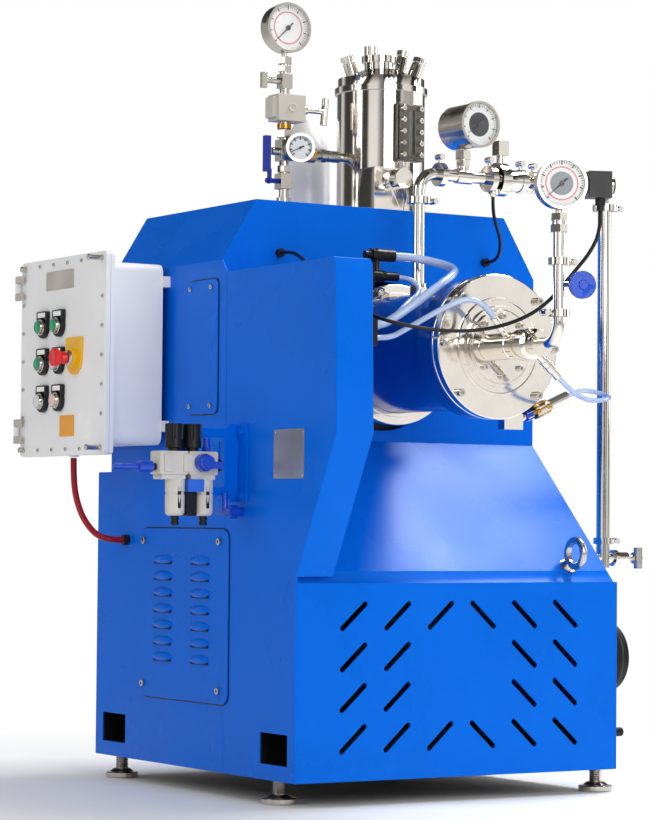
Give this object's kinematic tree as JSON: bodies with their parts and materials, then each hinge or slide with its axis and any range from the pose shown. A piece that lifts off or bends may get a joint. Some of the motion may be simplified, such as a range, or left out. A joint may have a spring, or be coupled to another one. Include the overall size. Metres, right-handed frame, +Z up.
{
  "type": "horizontal bead mill",
  "caption": "Horizontal bead mill in a blue sheet-metal cabinet, with a polished grinding chamber, roof vessel, gauges, process pipes, side control box and air unit.",
  "frame": {"origin": "centre of the machine's envelope on the floor, hoses and cables left out", "axes": "+Z up, the slotted front faces -Y, the control box is on the -X side"},
  "size_m": [1.233, 1.2444, 1.607],
  "materials": {
    "blue_paint": "gloss powder coat, fine orange peel",
    "dark_blue_cap": "moulded lever grips",
    "polished_steel": "mirror-polished stainless",
    "brushed_steel": "turned and brushed stainless",
    "black_steel": "black painted machinery",
    "grey_enamel": "fine textured light grey",
    "warm_grey_plastic": "moulded, light texture",
    "black_plastic": "moulded",
    "black_rubber": "smooth sheath",
    "red_sheath": "smooth red cable sheath",
    "clear_hose_plastic": "clear soft tube",
    "dial_white": "printed dial, blank",
    "window_glass": "clear glazing",
    "red_plastic": "mushroom head",
    "yellow_plastic": "safety yellow plate",
    "green_cap": "green push button",
    "clear_cap": "clear white push button",
    "pink_cap": "pale red push button",
    "cast_housing": "machined and painted casting",
    "bright_plate": "blank plate"
  },
  "bodies": {
    "machine": {"air_bracket": "blue_paint", "air_fittings": "brushed_steel", "air_unit": "warm_grey_plastic", "base_frame": "black_steel", "bearing_housing": "cast_housing", "cabinet_shell": "blue_paint", "chamber_flanges": "polished_steel", "chamber_jacket": "brushed_steel", "clear_hoses": "clear_hose_plastic", "clear_windows": "window_glass", "data_plate": "bright_plate", "drive_belts": "black_rubber", "drive_motor": "cast_housing", "enclosure_body": "grey_enamel", "end_cover": "brushed_steel", "fan_cowl": "blue_paint", "front_hood": "blue_paint", "gauge_cases": "polished_steel", "gauge_dials": "dial_white", "gauge_pointers": "black_plastic", "hose_manifold": "brushed_steel", "levelling_feet": "brushed_steel", "lifting_eye": "brushed_steel", "machine_bolts": "brushed_steel", "outlet_hub": "polished_steel", "outlet_standpipe": "polished_steel", "pipe_clamps": "brushed_steel", "power_cable": "red_sheath", "process_pipes": "polished_steel", "rear_panel": "blue_paint", "service_tank": "grey_enamel", "side_covers": "blue_paint", "side_wing": "blue_paint", "sight_block": "polished_steel", "signal_cables": "black_rubber", "stack_fittings": "brushed_steel", "terminal_box": "black_plastic", "vessel_lid": "polished_steel", "vessel_shell": "polished_steel"},
    "rotor": {"mill_shaft": "brushed_steel", "agitator_discs": "cast_housing"},
    "motor_rotor": {"motor_pulley": "brushed_steel"},
    "door": {"enclosure_door": "grey_enamel", "door_metalwork": "brushed_steel", "button_plates": "black_plastic", "estop_plate": "yellow_plastic"},
    "estop": {"estop_head": "red_plastic"},
    "lever": {"stack_lever": "dark_blue_cap"},
    "regulator": {"regulator_handle": "polished_steel"},
    "purge": {"purge_handle": "polished_steel"},
    "sampler": {"sample_handle": "polished_steel"},
    "knob": {"hand_knob": "black_plastic"},
    "air_a": {"air_knob_a": "black_plastic"},
    "air_b": {"air_knob_b": "black_plastic"},
    "body_button_a1": {"button_a1": "green_cap"},
    "body_button_a2": {"button_a2": "green_cap"},
    "body_button_b1": {"button_b1": "green_cap"},
    "body_button_b2": {"button_b2": "pink_cap"},
    "body_button_c1": {"button_c1": "clear_cap"},
    "body_button_c2": {"button_c2": "pink_cap"}
  },
  "joints": [
    {"name": "agitator_spin", "type": "hinge", "parent": "machine", "child": "rotor", "pos_m": [0.0515, 0.42165, 0.878], "axis": [0, 1, 0], "continuous": true},
    {"name": "motor_spin", "type": "hinge", "parent": "machine", "child": "motor_rotor", "pos_m": [0.0515, 0.34165, 0.3], "axis": [0, 1, 0], "continuous": true},
    {"name": "door_swing", "type": "hinge", "parent": "machine", "child": "door", "pos_m": [-0.4895, 0.61565, 0.86], "axis": [0, 0, -1], "range_deg": [0, 105]},
    {"name": "estop_press", "type": "slide", "parent": "door", "child": "estop", "axis": [1, 0, 0], "range_m": [0, 0.004], "stiffness_N_per_m": 600},
    {"name": "lever_turn", "type": "hinge", "parent": "machine", "child": "lever", "pos_m": [-0.1285, 0.17165, 1.238], "axis": [1, 0, 0], "range_deg": [0, 90]},
    {"name": "regulator_turn", "type": "hinge", "parent": "machine", "child": "regulator", "pos_m": [-0.0585, 0.17165, 1.39], "axis": [1, 0, 0], "range_deg": [-180, 180]},
    {"name": "purge_turn", "type": "hinge", "parent": "machine", "child": "purge", "pos_m": [-0.1285, 0.17165, 1.445], "axis": [1, 0, 0], "range_deg": [0, 90]},
    {"name": "sample_turn", "type": "hinge", "parent": "machine", "child": "sampler", "pos_m": [0.5915, -0.09535, 0.469], "axis": [1, 0, 0], "range_deg": [0, 180]},
    {"name": "knob_turn", "type": "hinge", "parent": "machine", "child": "knob", "pos_m": [0.0965, -0.56635, 0.985], "axis": [-0.29, -0.957, 0], "range_deg": [0, 270]},
    {"name": "air_knob_a_turn", "type": "hinge", "parent": "machine", "child": "air_a", "pos_m": [-0.4855, -0.06335, 0.69], "axis": [0, 0, 1], "range_deg": [-120, 120]},
    {"name": "air_knob_b_turn", "type": "hinge", "parent": "machine", "child": "air_b", "pos_m": [-0.4455, -0.06335, 0.69], "axis": [0, 0, 1], "range_deg": [-120, 120]},
    {"name": "button_a1_press", "type": "slide", "parent": "door", "child": "body_button_a1", "axis": [1, 0, 0], "range_m": [0, 0.0025], "stiffness_N_per_m": 400},
    {"name": "button_a2_press", "type": "slide", "parent": "door", "child": "body_button_a2", "axis": [1, 0, 0], "range_m": [0, 0.0025], "stiffness_N_per_m": 400},
    {"name": "button_b1_press", "type": "slide", "parent": "door", "child": "body_button_b1", "axis": [1, 0, 0], "range_m": [0, 0.0025], "stiffness_N_per_m": 400},
    {"name": "button_b2_press", "type": "slide", "parent": "door", "child": "body_button_b2", "axis": [1, 0, 0], "range_m": [0, 0.0025], "stiffness_N_per_m": 400},
    {"name": "button_c1_press", "type": "slide", "parent": "door", "child": "body_button_c1", "axis": [1, 0, 0], "range_m": [0, 0.0025], "stiffness_N_per_m": 400},
    {"name": "button_c2_press", "type": "slide", "parent": "door", "child": "body_button_c2", "axis": [1, 0, 0], "range_m": [0, 0.0025], "stiffness_N_per_m": 400}
  ],
  "couplings": [
    {"joint": "motor_spin", "follows": "agitator_spin", "ratio": 1.5}
  ]
}
